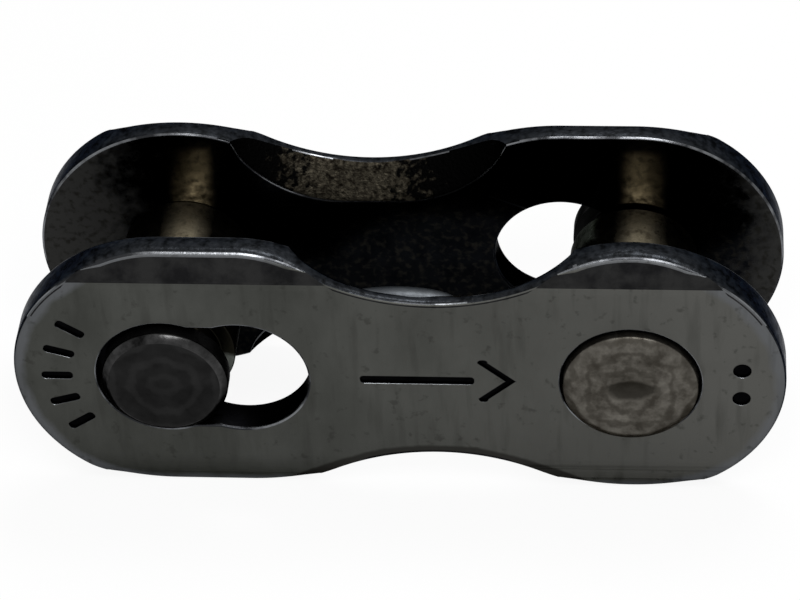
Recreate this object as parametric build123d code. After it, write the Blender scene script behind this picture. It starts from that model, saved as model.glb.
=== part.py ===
"""Two-piece connecting link for a roller chain.

Two like halves make the link. Each half is a stamped side plate with one pin riveted into it, and a
keyhole at the plate's other end that catches the head of the other half's pin. The rear half is the
front half turned half a turn about the upright Z axis.

Frame, in millimetres: the origin is midway between the two pins and midway between the two plates.
X runs along the link towards the front plate's riveted pin, Y runs from the front plate to the rear
plate, and Z is up. The link stands on the lower edges of its plates.
"""
from build123d import *

import os
from math import sqrt

# --- chain size -------------------------------------------------------------------------------
PITCH = 12.7                # pin centre to pin centre
PLATE_GAP = 4.4             # between the plates' inner faces
PLATE_THICKNESS = 1.0
WIDTH = PLATE_GAP + 2 * PLATE_THICKNESS

# --- plate outline ----------------------------------------------------------------------------
LOBE_RADIUS = 4.2           # round ends, about each pin
WAIST_HALF_HEIGHT = 2.74    # narrowest half height, between the lobes
EDGE_ROUNDING = 0.14        # rolled outer edge left by stamping

# --- pins -------------------------------------------------------------------------------------
PIN_RADIUS = 1.8            # bearing length between the plates
STUD_RADIUS = 1.45          # riveted stud in its plate
NECK_RADIUS = 1.4           # waisted length that runs in the keyhole
HEAD_RADIUS = 1.74
END_FACE_RADIUS = 1.57      # flat of both pin ends, inside their bevels
HEAD_PROUD = 0.35           # how far the head stands out of its plate
RIVET_PROUD = 0.28          # how far the riveted end stands out of its plate
END_BEVEL = 0.16            # height of the bevel round both pin ends
DIMPLE_RADIUS = 0.62        # shallow centre mark left by the riveting punch
DIMPLE_DEPTH = 0.09
NECK_EARLY = 0.12           # neck starts this far before the plate's inner face
HEAD_PLAY = 0.05            # head stands off the seat floor

# --- keyhole and pin seats --------------------------------------------------------------------
SLIDE_TRAVEL = 2.05         # keyhole's entry to its seat, and the slide that locks the link
SEAT_RADIUS = 1.9           # recess that the pin ends sit in
SEAT_DEPTH = 0.4
ENTRY_RADIUS = 1.88         # round hole that lets the head through
CHANNEL_HALF_WIDTH = 1.77   # recess between entry and seat, just wider than the head
NECK_SLOT_HALF_WIDTH = 1.44
HOLE_CHAMFER = 0.06         # broken edges of the holes and seats

# --- shift bevels on the outer face -------------------------------------------------------------
FACET_CHORD_Z = 3.3         # flats above and below each lobe start at this height
FACET_DEPTH = 0.37          # how far the rim falls back at the top and the bottom

# --- waist bevels on the inner face -------------------------------------------------------------
WAIST_BEVEL_FLOOR = 1.88    # lowest line of the bevel on the inner face
WAIST_BEVEL_FLAT = 1.5      # straight length of that line
WAIST_BEVEL_CORNER = 3.4    # radius of its rising ends
WAIST_BEVEL_RISE = 1.4      # rise for each millimetre into the plate

OUTER_FACE_Y = -WIDTH / 2
INNER_FACE_Y = OUTER_FACE_Y + PLATE_THICKNESS
RIVET_X = PITCH / 2
SEAT_X = -PITCH / 2
ENTRY_X = SEAT_X + SLIDE_TRAVEL
WAIST_X = (ENTRY_X + RIVET_X) / 2

OUTER_FACE = Plane.XZ.offset(-OUTER_FACE_Y)     # looks out of the link, along -Y
INNER_FACE = Plane.XZ.offset(-INNER_FACE_Y)
OVERSHOOT = 1.0             # how far cutters stand past what they cut


def plate_outline() -> Sketch:
    """Lobe, waist and long lobe as one outline with tangent arcs, in the plane of X and Z."""
    half_span = (RIVET_X - ENTRY_X) / 2
    waist_radius = (half_span**2 + WAIST_HALF_HEIGHT**2 - LOBE_RADIUS**2) / (
        2 * (LOBE_RADIUS - WAIST_HALF_HEIGHT)
    )
    waist_centre_z = WAIST_HALF_HEIGHT + waist_radius
    share = LOBE_RADIUS / (LOBE_RADIUS + waist_radius)
    tangent_x = half_span * (1 - share)
    tangent_z = waist_centre_z * share

    with BuildSketch() as outline:
        with Locations((RIVET_X, 0)):
            Circle(LOBE_RADIUS)
        with Locations(((SEAT_X + ENTRY_X) / 2, 0)):
            SlotCenterToCenter(SLIDE_TRAVEL, 2 * LOBE_RADIUS)
        with Locations((WAIST_X, 0)):
            Rectangle(2 * tangent_x, 2 * tangent_z)
        with Locations((WAIST_X, waist_centre_z), (WAIST_X, -waist_centre_z)):
            Circle(waist_radius, mode=Mode.SUBTRACT)
    return outline.sketch


def round_hole(x: float, radius: float, depth: float) -> Part:
    """Round cutter of one radius, from the outer face inwards."""
    return extrude(OUTER_FACE * Pos(x, 0) * Circle(radius), -depth)


def channel(half_width: float, depth: float) -> Part:
    """Straight-sided cutter that joins the keyhole's entry to its seat."""
    middle = (SEAT_X + ENTRY_X) / 2
    return extrude(OUTER_FACE * Pos(middle, 0) * Rectangle(SLIDE_TRAVEL, 2 * half_width), -depth)


def keyhole() -> Part:
    """Entry hole, narrow neck slot and the recess that holds the head once it has slid home."""
    through = PLATE_THICKNESS + OVERSHOOT
    entry = round_hole(ENTRY_X, ENTRY_RADIUS, through)
    neck_slot = round_hole(SEAT_X, NECK_SLOT_HALF_WIDTH, through) + channel(NECK_SLOT_HALF_WIDTH, through)
    recess = round_hole(SEAT_X, SEAT_RADIUS, SEAT_DEPTH) + channel(CHANNEL_HALF_WIDTH, SEAT_DEPTH)
    return entry + neck_slot + recess


def rivet_hole() -> Part:
    """Stud hole with the round recess that the riveted end fills."""
    stud = round_hole(RIVET_X, STUD_RADIUS, PLATE_THICKNESS + OVERSHOOT)
    return stud + round_hole(RIVET_X, SEAT_RADIUS, SEAT_DEPTH)


def outer_facets() -> Part:
    """Shift bevels: sloping flats above and below both lobes, each falling back from a straight chord."""
    slope = FACET_DEPTH / (LOBE_RADIUS - FACET_CHORD_Z)
    top = LOBE_RADIUS + OVERSHOOT
    wedge = Polyline(
        (OUTER_FACE_Y - OVERSHOOT * slope, FACET_CHORD_Z - OVERSHOOT),
        (OUTER_FACE_Y + (top - FACET_CHORD_Z) * slope, top),
        (OUTER_FACE_Y - OVERSHOOT, top),
        close=True,
    )
    length = PITCH + 2 * LOBE_RADIUS + 2 * OVERSHOOT
    upper = extrude(Plane.YZ * make_face(wedge), length / 2, both=True)
    return upper + mirror(upper, about=Plane.XY)


def waist_bevels() -> Part:
    """Slanted cuts that thin both waist edges from the inner face."""
    width = WAIST_BEVEL_FLAT + 2 * WAIST_BEVEL_CORNER
    profile = Pos(WAIST_X, WAIST_BEVEL_FLOOR + width / 2) * RectangleRounded(
        width, width, WAIST_BEVEL_CORNER
    )
    slant = sqrt(1 + WAIST_BEVEL_RISE**2)
    upper = extrude(INNER_FACE * profile, PLATE_THICKNESS * slant, dir=(0, -1, WAIST_BEVEL_RISE))
    return upper + mirror(upper, about=Plane.XY)


def hole_mouths(plate: Part) -> ShapeList[Edge]:
    """Edges of all the holes where they open on the plate's outer and inner face."""
    flats = plate.faces().filter_by(Axis.Y).sort_by(Axis.Y)
    wires = flats[0].inner_wires() + flats[-1].inner_wires()
    return wires.edges()


def side_plate() -> Part:
    """The stamped plate, with its rolled outer edge, bevels, keyhole and rivet hole."""
    blank = extrude(OUTER_FACE * plate_outline(), -PLATE_THICKNESS)
    outer_edges = blank.faces().sort_by(Axis.Y)[0].edges()
    blank = fillet(outer_edges, EDGE_ROUNDING)
    pierced = blank - outer_facets() - waist_bevels() - keyhole() - rivet_hole()
    return chamfer(hole_mouths(pierced), HOLE_CHAMFER)


def pin() -> Part:
    """Stepped pin, turned about its axis: riveted end, stud, bearing length, neck and head."""
    rivet_end = OUTER_FACE_Y - RIVET_PROUD
    rivet_seat = OUTER_FACE_Y + SEAT_DEPTH
    neck_start = -INNER_FACE_Y - NECK_EARLY
    head_seat = -OUTER_FACE_Y - SEAT_DEPTH + HEAD_PLAY
    head_end = -OUTER_FACE_Y + HEAD_PROUD
    with BuildPart() as turned:
        with BuildSketch(Plane.XY):
            with BuildLine():
                Polyline(
                    (0, rivet_end + DIMPLE_DEPTH),
                    (DIMPLE_RADIUS / 2, rivet_end + DIMPLE_DEPTH),
                    (DIMPLE_RADIUS, rivet_end),
                    (END_FACE_RADIUS, rivet_end),
                    (HEAD_RADIUS, rivet_end + END_BEVEL),
                    (HEAD_RADIUS, rivet_seat),
                    (STUD_RADIUS, rivet_seat),
                    (STUD_RADIUS, INNER_FACE_Y),
                    (PIN_RADIUS, INNER_FACE_Y),
                    (PIN_RADIUS, neck_start),
                    (NECK_RADIUS, neck_start),
                    (NECK_RADIUS, head_seat),
                    (HEAD_RADIUS, head_seat),
                    (HEAD_RADIUS, head_end - END_BEVEL),
                    (END_FACE_RADIUS, head_end),
                    (0, head_end),
                    close=True,
                )
            make_face()
        revolve(axis=Axis.Y)
    return Pos(RIVET_X, 0, 0) * turned.part


def main() -> None:
    """Build the front half, turn it for the rear half and write one file for each piece."""
    half_turn = Rot(0, 0, 180)
    plate = side_plate()
    stepped_pin = pin()
    pieces = {
        "front_plate": plate,
        "front_pin": stepped_pin,
        "rear_plate": half_turn * plate,
        "rear_pin": half_turn * stepped_pin,
    }
    os.makedirs("parts", exist_ok=True)
    for name, piece in pieces.items():
        export_step(piece, f"parts/{name}.step")


main()
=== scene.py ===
"""Looks of a two-piece connecting link for a roller chain.

Two like halves make the link. Each is a stamped side plate with a stepped pin riveted into it, and
a keyhole that catches the head of the other half's pin. The front half is modelled here in full,
from its sizes in millimetres, and the rear half is a copy turned half a turn about the upright
axis.
"""

import logging
import math
from collections.abc import Callable, Iterator
from contextlib import contextmanager
from dataclasses import dataclass, field
from enum import Enum, IntEnum
from functools import cached_property

import bmesh
import bpy
from mathutils import Matrix, Vector


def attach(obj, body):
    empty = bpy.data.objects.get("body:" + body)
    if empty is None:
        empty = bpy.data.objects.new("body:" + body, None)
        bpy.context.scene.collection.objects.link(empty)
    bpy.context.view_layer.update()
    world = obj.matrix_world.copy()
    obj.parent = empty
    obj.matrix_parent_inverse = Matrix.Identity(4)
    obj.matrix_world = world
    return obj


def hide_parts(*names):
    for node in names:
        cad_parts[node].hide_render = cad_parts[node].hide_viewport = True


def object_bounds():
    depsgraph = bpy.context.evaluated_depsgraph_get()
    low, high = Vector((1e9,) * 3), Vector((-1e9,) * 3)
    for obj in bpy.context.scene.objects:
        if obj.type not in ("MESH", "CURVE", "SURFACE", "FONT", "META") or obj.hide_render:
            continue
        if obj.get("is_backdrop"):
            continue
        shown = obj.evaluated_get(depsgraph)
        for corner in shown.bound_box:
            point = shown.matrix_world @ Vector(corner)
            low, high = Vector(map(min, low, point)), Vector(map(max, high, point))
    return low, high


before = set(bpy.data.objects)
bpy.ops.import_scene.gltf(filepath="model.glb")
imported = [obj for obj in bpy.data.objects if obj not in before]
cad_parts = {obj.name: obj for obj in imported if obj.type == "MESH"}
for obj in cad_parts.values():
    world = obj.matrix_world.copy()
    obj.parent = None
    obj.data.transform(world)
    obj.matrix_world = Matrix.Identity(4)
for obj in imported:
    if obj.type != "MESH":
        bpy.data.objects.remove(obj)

log = logging.getLogger("connecting_link")

Element = bmesh.types.BMVert | bmesh.types.BMEdge | bmesh.types.BMFace
Tree = bpy.types.NodeTree
Socket = bpy.types.NodeSocket

MM = 0.001

# Places that the front half's plate and pin share, in millimetres.
PIN_X = 6.35        # pins stand half the chain's pitch of 12.7 mm from the middle
OUTER_Y = -3.2      # outer face of the front plate
INNER_Y = -2.2      # inner face of the front plate
SEAT_DEPTH = 0.4    # recesses that hold the head and the riveted end

# Metres within which a corner counts as on a cut, as in a plane, and as one with another corner.
ON_CUT = 1e-8
ON_PLANE = 1e-7
MERGED = 1e-6

SMOOTH_BELOW = 35   # degrees; a sharper bend between two faces stays a crease


# --- hands-on tools -----------------------------------------------------------------------------


def pick(piece: bpy.types.Object) -> None:
    """Make one object the only selected and the active one.

    Args:
        piece: the object.
    """
    bpy.ops.object.select_all(action="DESELECT")
    piece.select_set(True)
    bpy.context.view_layer.objects.active = piece


@contextmanager
def editing(piece: bpy.types.Object) -> Iterator[None]:
    """Hold one object in edit mode, with everything in it deselected at the start.

    Args:
        piece: object to edit.

    Returns:
        A context that goes back to object mode at its end.
    """
    pick(piece)
    bpy.ops.object.mode_set(mode="EDIT")
    bpy.ops.mesh.select_mode(type="VERT")
    bpy.ops.mesh.select_all(action="DESELECT")
    yield
    bpy.ops.object.mode_set(mode="OBJECT")


def select_where(kind: str, test: Callable[[Element], bool]) -> None:
    """Select the parts of the mesh being edited that pass a test, and nothing else.

    Args:
        kind: "VERT", "EDGE" or "FACE".
        test: says whether one part is wanted.
    """
    bpy.ops.mesh.select_mode(type=kind)
    bpy.ops.mesh.select_all(action="DESELECT")
    data = bpy.context.object.data
    mesh = bmesh.from_edit_mesh(data)
    for part in {"VERT": mesh.verts, "EDGE": mesh.edges, "FACE": mesh.faces}[kind]:
        if test(part):
            part.select_set(True)
    mesh.select_flush_mode()
    bmesh.update_edit_mesh(data)


def select_edges_at(y: float) -> None:
    """Select the edges of the mesh being edited that lie in one plane across the pins."""
    select_where("EDGE", lambda e: all(abs(v.co.y - y * MM) < ON_PLANE for v in e.verts))


def fill_at(*planes: float) -> None:
    """Fill the outline of the mesh being edited with a face, in each of some planes.

    Args:
        planes: their places along the pins, in millimetres.
    """
    for y in planes:
        select_edges_at(y)
        bpy.ops.mesh.edge_face_add()


def extrude(x: float, y: float, z: float) -> None:
    """Extrude what is selected by a distance in millimetres."""
    bpy.ops.mesh.extrude_region_move(TRANSFORM_OT_translate={"value": (x * MM, y * MM, z * MM)})


def face_outwards() -> None:
    """Turn all faces of the mesh being edited outwards."""
    bpy.ops.mesh.select_all(action="SELECT")
    bpy.ops.mesh.normals_make_consistent(inside=False)


def sweep(x: float, z: float, degrees: float, steps: int) -> None:
    """Spin what is selected about an axis along Y.

    Args:
        x: place of the axis, in millimetres.
        z: place of the axis, in millimetres.
        degrees: how far it turns.
        steps: pieces that the turn is made of.
    """
    turn = math.radians(degrees)
    bpy.ops.mesh.spin(steps=steps, angle=turn, center=(x * MM, 0, z * MM), axis=(0, 1, 0))


def apply_place(piece: bpy.types.Object) -> None:
    """Move an object's place, turn and scale into its mesh."""
    pick(piece)
    bpy.ops.object.transform_apply(location=True, rotation=True, scale=True)


def apply_modifier(piece: bpy.types.Object, kind: str, **settings: object) -> None:
    """Add a modifier, set it and apply it.

    Args:
        piece: object to change.
        kind: Blender's name for the modifier.
        settings: the modifier's own options.
    """
    modifier = piece.modifiers.new(kind.lower(), kind)
    for option, value in settings.items():
        setattr(modifier, option, value)
    pick(piece)
    bpy.ops.object.modifier_apply(modifier=modifier.name)


def cut_away(piece: bpy.types.Object, cutter: bpy.types.Object) -> None:
    """Take a cutter's shape out of a piece, and throw the cutter away."""
    apply_modifier(piece, "BOOLEAN", object=cutter, operation="DIFFERENCE", solver="EXACT")
    bpy.data.objects.remove(cutter)


def round_bar(
    x: float, z: float, radius: float, near_y: float, far_y: float, sides: int = 128
) -> bpy.types.Object:
    """Round bar along Y, for cutting a hole. All lengths are in millimetres.

    Args:
        x: place of its axis.
        z: place of its axis.
        radius: half its thickness.
        near_y: its end towards the front.
        far_y: its end towards the rear.
        sides: flats round the bar.

    Returns:
        The bar.
    """
    bpy.ops.object.select_all(action="DESELECT")
    bpy.ops.mesh.primitive_cylinder_add(
        vertices=sides,
        radius=radius * MM,
        depth=(far_y - near_y) * MM,
        location=(x * MM, (near_y + far_y) / 2 * MM, z * MM),
        rotation=(math.pi / 2, 0, 0),
    )
    bar = bpy.context.object
    apply_place(bar)
    return bar


def edge_along_y(x: float, z: float, near_y: float, far_y: float) -> bpy.types.Object:
    """A single edge along Y, ready to be swept into a wall. All lengths are in millimetres.

    Args:
        x: place of the edge.
        z: place of the edge.
        near_y: its end towards the front.
        far_y: its end towards the rear.

    Returns:
        The edge, as an object of its own.
    """
    length = far_y - near_y
    bpy.ops.object.select_all(action="DESELECT")
    bpy.ops.mesh.primitive_plane_add(
        size=length * MM, location=(x * MM, (near_y + far_y) / 2 * MM, z * MM)
    )
    edge = bpy.context.object
    apply_place(edge)
    with editing(edge):
        select_where("VERT", lambda v: v.co.x > x * MM)
        bpy.ops.mesh.delete(type="VERT")
        bpy.ops.mesh.select_all(action="SELECT")
        bpy.ops.transform.translate(value=(length / 2 * MM, 0, 0))
    return edge


def soften(
    piece: bpy.types.Object, width: float, share: Callable[[bmesh.types.BMEdge], float], slot: int
) -> None:
    """Round a piece's edges, each by its own share of one width.

    Args:
        piece: object to change.
        width: widest rounding, in millimetres.
        share: gives the part of that width, from 0 to 1, that an edge between two faces gets.
        slot: material slot of the rounded faces.
    """
    layer = "bevel_weight_edge"
    mesh = bmesh.new()
    mesh.from_mesh(piece.data)
    weight = mesh.edges.layers.float.get(layer) or mesh.edges.layers.float.new(layer)
    for edge in mesh.edges:
        edge[weight] = share(edge) if len(edge.link_faces) == 2 else 0.0
    mesh.to_mesh(piece.data)
    mesh.free()
    apply_modifier(
        piece,
        "BEVEL",
        width=width * MM,
        segments=4,
        limit_method="WEIGHT",
        use_clamp_overlap=False,
        material=slot,
    )


def smooth_with_flat_faces(piece: bpy.types.Object) -> None:
    """Shade rounded edges smoothly while the large flat faces stay flat.

    Args:
        piece: object to shade.
    """
    pick(piece)
    bpy.ops.object.shade_smooth_by_angle(angle=math.radians(SMOOTH_BELOW))
    apply_modifier(piece, "WEIGHTED_NORMAL", mode="FACE_AREA", weight=80, keep_sharp=True)


# --- nodes and colours --------------------------------------------------------------------------

CLOUDS_SPAN = (0.25, 0.75)      # nearly all values of a ragged cloud texture lie between these
PATCHES_SPAN = (0.3, 0.7)       # and nearly all values of the steels' patches between these
WAVE_STEP = 0.314               # a wave texture at scale 1 repeats after this length


@dataclass(frozen=True)
class Clouds:
    """A cloudy pattern that swings a border to and fro. Lengths are millimetres."""

    breadth: float              # across one cloud
    swing: float                # between the border's outermost and innermost place


@dataclass(frozen=True)
class Coat:
    """A second colour, laid over a first where a value passes from one limit to another."""

    colour: str                 # sRGB hex
    bare: float                 # value at which none of it shows
    full: float                 # value at which the most of it shows
    most: float = 1.0           # share of it that shows there


def linear(hex_colour: str) -> tuple[float, float, float, float]:
    """Turn an sRGB hex colour, such as "#3a3b38", into Blender's linear colour.

    Args:
        hex_colour: a hash sign and six digits.

    Returns:
        Red, green, blue and a full alpha.
    """
    values = (int(hex_colour[i : i + 2], 16) / 255 for i in (1, 3, 5))
    red, green, blue = (v / 12.92 if v <= 0.04045 else ((v + 0.055) / 1.055) ** 2.4 for v in values)
    return red, green, blue, 1.0


def per_metre(size: float) -> float:
    """Texture scale at which a pattern's features are this many millimetres across."""
    return 1 / (size * MM)


@dataclass(frozen=True)
class NodeSheet:
    """The node tree of a material or of the world, and the patterns that are laid out on it."""

    tree: Tree

    @classmethod
    def cleared(cls, owner: bpy.types.Material | bpy.types.World) -> "NodeSheet":
        """Switch on the nodes of a material or a world, and take out the ones it came with.

        Args:
            owner: the material or the world.

        Returns:
            Its empty sheet.
        """
        owner.use_nodes = True
        owner.node_tree.nodes.clear()
        return cls(owner.node_tree)

    @cached_property
    def place(self) -> Socket:
        """Object coordinates of the surface, in metres."""
        return self.add("TexCoord").outputs["Object"]

    def add(
        self,
        kind: str,
        values: dict[str | int, object] | None = None,
        links: dict[str | int, Socket] | None = None,
        **settings: object,
    ) -> bpy.types.Node:
        """Add one node with its settings and links.

        Args:
            kind: Blender's name for the node, without "ShaderNode".
            values: what each unlinked input holds, by the input's name or number.
            links: the output that feeds each linked input, by the input's name or number.
            settings: the node's own options.

        Returns:
            The new node.
        """
        node = self.tree.nodes.new("ShaderNode" + kind)
        for option, value in settings.items():
            setattr(node, option, value)
        for socket, value in (values or {}).items():
            node.inputs[socket].default_value = value
        for socket, source in (links or {}).items():
            self.tree.links.new(source, node.inputs[socket])
        return node

    def wavering(self, length: Socket, clouds: Clouds) -> Socket:
        """Swing a length to and fro by clouds, so that what follows it gets a ragged edge.

        Args:
            length: in metres.
            clouds: their breadth and how far they swing it.

        Returns:
            The swung length, in metres.
        """
        values = {"Scale": per_metre(clouds.breadth), "Detail": 4.0, "Roughness": 0.6}
        cloudy = self.add("TexNoise", values, {"Vector": self.place}).outputs["Fac"]
        low, high = CLOUDS_SPAN
        half = clouds.swing / 2 * MM
        span = {"From Min": low, "From Max": high, "To Min": -half, "To Max": half}
        shift = self.add("MapRange", span, {"Value": cloudy}).outputs["Result"]
        return self.add("Math", links={0: length, 1: shift}, operation="ADD").outputs[0]

    def laid_over(self, colour: Socket, coat: Coat, value: Socket) -> Socket:
        """Lay a coat over a colour.

        Args:
            colour: what lies below.
            coat: what lies above.
            value: decides how much of the coat shows.

        Returns:
            The mixed colour.
        """
        span = {"From Min": coat.bare, "From Max": coat.full, "To Max": coat.most}
        share = self.add("MapRange", span, {"Value": value}).outputs["Result"]
        above = {7: linear(coat.colour)}
        return self.add("Mix", above, {0: share, 6: colour}, data_type="RGBA").outputs[2]

    def within(self, length: Socket, low: float, high: float) -> Socket:
        """Say how far a length lies inside two limits.

        Args:
            length: in metres.
            low: least limit, in millimetres.
            high: greatest limit, in millimetres.

        Returns:
            Distance to the nearer limit in metres, less than 0 outside them.
        """
        past_low = self.add("Math", {1: low * MM}, {0: length}, operation="SUBTRACT").outputs[0]
        to_high = self.add("Math", {0: high * MM}, {1: length}, operation="SUBTRACT").outputs[0]
        return self.add("Math", links={0: past_low, 1: to_high}, operation="MINIMUM").outputs[0]

    def by_side(self, axis: str) -> Socket:
        """Read one coordinate, with its sign changed on the front side, where Y is below 0.

        Args:
            axis: "X" or "Z".

        Returns:
            The coordinate, in metres.
        """
        parts = self.add("SeparateXYZ", links={0: self.place}).outputs
        side = self.add("Math", links={0: parts["Y"]}, operation="SIGN").outputs[0]
        return self.add("Math", links={0: parts[axis], 1: side}, operation="MULTIPLY").outputs[0]

    def off_lobe_centre(self) -> Socket:
        """Measure the distance from the line between the pins, and beyond it from the nearer pin.

        Returns:
            The distance, in metres.
        """
        parts = self.add("SeparateXYZ", links={0: self.place}).outputs
        along = self.add("Math", links={0: parts["X"]}, operation="ABSOLUTE").outputs[0]
        past = self.add("Math", {1: PIN_X * MM}, {0: along}, operation="SUBTRACT").outputs[0]
        beyond = self.add("Math", {1: 0.0}, {0: past}, operation="MAXIMUM").outputs[0]
        flat = self.add("CombineXYZ", links={0: beyond, 2: parts["Z"]}).outputs[0]
        return self.add("VectorMath", links={0: flat}, operation="LENGTH").outputs["Value"]

    def off_pin_line(self, shift: float) -> Socket:
        """Measure the distance along X from a line beside the nearer pin's axis.

        Args:
            shift: from the axis to the line, towards greater X, in millimetres.

        Returns:
            The distance, in metres.
        """
        x = self.add("SeparateXYZ", links={0: self.place}).outputs["X"]
        end = self.add("Math", links={0: x}, operation="SIGN").outputs[0]
        axis = {1: -PIN_X * MM}
        off_axis = self.add("Math", axis, {0: end, 2: x}, operation="MULTIPLY_ADD").outputs[0]
        line = {1: shift * MM}
        off_line = self.add("Math", line, {0: off_axis}, operation="SUBTRACT").outputs[0]
        return self.add("Math", links={0: off_line}, operation="ABSOLUTE").outputs[0]


# --- finishes -----------------------------------------------------------------------------------


@dataclass(frozen=True)
class Steel:
    """A steel surface: patches of colour, gloss and fine relief. Sizes are millimetres."""

    name: str
    clean: str                          # colour of the clean patches
    stained: str                        # colour of the stained ones
    roughness: float
    roughness_spread: float = 0.08      # that patches add to the roughness or take from it
    patch: float = 2.2                  # breadth of the patches
    softness: float = 0.18              # of a patch's border, from 0 for a sharp one
    grain: float = 0.14                 # breadth of the relief's grains
    grain_depth: float = 0.004
    stretch: tuple[float, float, float] = (1.0, 1.0, 1.0)   # less than 1 draws patches out that way
    grazing: str = "#8c8c8c"            # colour along the outline, dulled by black oxide and oil

    def material(self) -> bpy.types.Material:
        """Make the material with its nodes.

        Returns:
            The material, with all its patterns on Object coordinates.
        """
        made = bpy.data.materials.new(self.name)
        sheet = NodeSheet.cleared(made)
        draw = {"Scale": self.stretch}
        drawn = sheet.add("Mapping", draw, {"Vector": sheet.place}).outputs["Vector"]
        pattern = {"Scale": per_metre(self.patch), "Detail": 6.0, "Roughness": 0.62}
        patches = sheet.add("TexNoise", pattern, {"Vector": drawn}).outputs["Fac"]
        border = {"From Min": 0.5 - self.softness, "From Max": 0.5 + self.softness}
        share = sheet.add("MapRange", border, {"Value": patches}).outputs["Result"]
        colours = {6: linear(self.clean), 7: linear(self.stained)}
        mottled = sheet.add("Mix", colours, {0: share}, data_type="RGBA").outputs[2]
        low, high = PATCHES_SPAN
        least, most = self.roughness - self.roughness_spread, self.roughness + self.roughness_spread
        span = {"From Min": low, "From Max": high, "To Min": least, "To Max": most}
        gloss = sheet.add("MapRange", span, {"Value": patches}).outputs["Result"]
        shader = sheet.add(
            "BsdfPrincipled",
            {"Metallic": 1.0, "Specular Tint": linear(self.grazing)},
            {
                "Base Color": self.overlaid_colour(sheet, mottled),
                "Roughness": self.dulled(sheet, gloss),
                "Normal": self.relief(sheet, drawn),
            },
        )
        sheet.add("OutputMaterial", links={"Surface": shader.outputs["BSDF"]})
        return made

    def overlaid_colour(self, sheet: NodeSheet, colour: Socket) -> Socket:
        """Colour with the marks of making and wear, and with painted light and shade in some
        finishes; a plain steel has none.
        """
        return colour

    def dulled(self, sheet: NodeSheet, gloss: Socket) -> Socket:
        """Roughness with the changes that wear makes; a plain steel has none."""
        return gloss

    def relief(self, sheet: NodeSheet, drawn: Socket) -> Socket:
        """Raise the fine grain of the surface.

        Args:
            sheet: where the nodes go.
            drawn: coordinates of the surface, drawn out as its patches are.

        Returns:
            The normal.
        """
        pattern = {"Scale": per_metre(self.grain), "Detail": 3.0}
        grains = sheet.add("TexNoise", pattern, {"Vector": drawn}).outputs["Fac"]
        depth = {"Strength": 1.0, "Distance": self.grain_depth * MM}
        return sheet.add("Bump", depth, {"Height": grains}).outputs["Normal"]


@dataclass(frozen=True)
class TumbledFace(Steel):
    """Outer face, with draw marks, scuffs and pits: painted sheen makes it lighter towards the
    rivet and along the rim, and painted shade darkens the edge under the waist.
    """

    # Painted sheen: the face grows lighter towards the rivet's end.
    painted_light: Coat = Coat("#545451", 3 * MM, -8 * MM)
    painted_light_border: Clouds = Clouds(5.0, 4.0)
    # Painted sheen: the face grows lighter along the lobes' outline.
    rim: Coat = Coat("#5b5d60", 3.78 * MM, 3.98 * MM, 0.8)
    rim_sheen_border: Clouds = Clouds(1.0, 0.2)
    # Painted shade: a dark band along the edge under the waist.
    rolled: Coat = Coat("#2b2a28", 6.62 * MM, 6.53 * MM, 0.85)      # along the edge under the waist
    rolled_shade_border: Clouds = Clouds(0.8, 0.07)
    arc_x: float = 1.025                # centre of the arc that cuts the waist from below
    arc_z: float = -8.98
    streak: Coat = Coat("#2e2e2b", 0.52, 0.78, 0.45)
    streak_breadth: float = 0.35        # real draw marks are finer than this
    streak_stretch: tuple[float, float, float] = (1.0, 1.0, 0.12)
    pit: Coat = Coat("#2e2e2b", 0.62, 0.72, 0.45)
    pit_breadth: float = 0.3            # and so are real pits

    def overlaid_colour(self, sheet: NodeSheet, colour: Socket) -> Socket:
        """Paint sheen towards the rivet and along the rim, paint shade along the edge under the
        waist, and scuff the whole face.

        Args:
            sheet: where the nodes go.
            colour: the steel's patches.

        Returns:
            The worn colour.
        """
        along = sheet.wavering(sheet.by_side("X"), self.painted_light_border)
        painted_lighter = sheet.laid_over(colour, self.painted_light, along)
        outwards = sheet.wavering(sheet.off_lobe_centre(), self.rim_sheen_border)
        rim_sheened = sheet.laid_over(painted_lighter, self.rim, outwards)
        off_arc = sheet.wavering(self.off_arc_centre(sheet), self.rolled_shade_border)
        rolled = sheet.laid_over(rim_sheened, self.rolled, off_arc)
        drawn = sheet.add("Mapping", {"Scale": self.streak_stretch}, {"Vector": sheet.place})
        pattern = {"Scale": per_metre(self.streak_breadth), "Detail": 3.0}
        streaks = sheet.add("TexNoise", pattern, {"Vector": drawn.outputs["Vector"]})
        streaked = sheet.laid_over(rolled, self.streak, streaks.outputs["Fac"])
        dots = {"Scale": per_metre(self.pit_breadth), "Detail": 3.0}
        pits = sheet.add("TexNoise", dots, {"Vector": sheet.place})
        return sheet.laid_over(streaked, self.pit, pits.outputs["Fac"])

    def off_arc_centre(self, sheet: NodeSheet) -> Socket:
        """Measure the distance from the centre of the waist's lower arc.

        Args:
            sheet: where the nodes go.

        Returns:
            The distance, in metres.
        """
        z = sheet.add("SeparateXYZ", links={0: sheet.place}).outputs["Z"]
        flat = sheet.add("CombineXYZ", links={0: sheet.by_side("X"), 2: z}).outputs[0]
        back = {1: (self.arc_x * MM, 0.0, -self.arc_z * MM)}
        off = sheet.add("VectorMath", back, {0: flat}, operation="ADD").outputs[0]
        return sheet.add("VectorMath", links={0: off}, operation="LENGTH").outputs["Value"]


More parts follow.
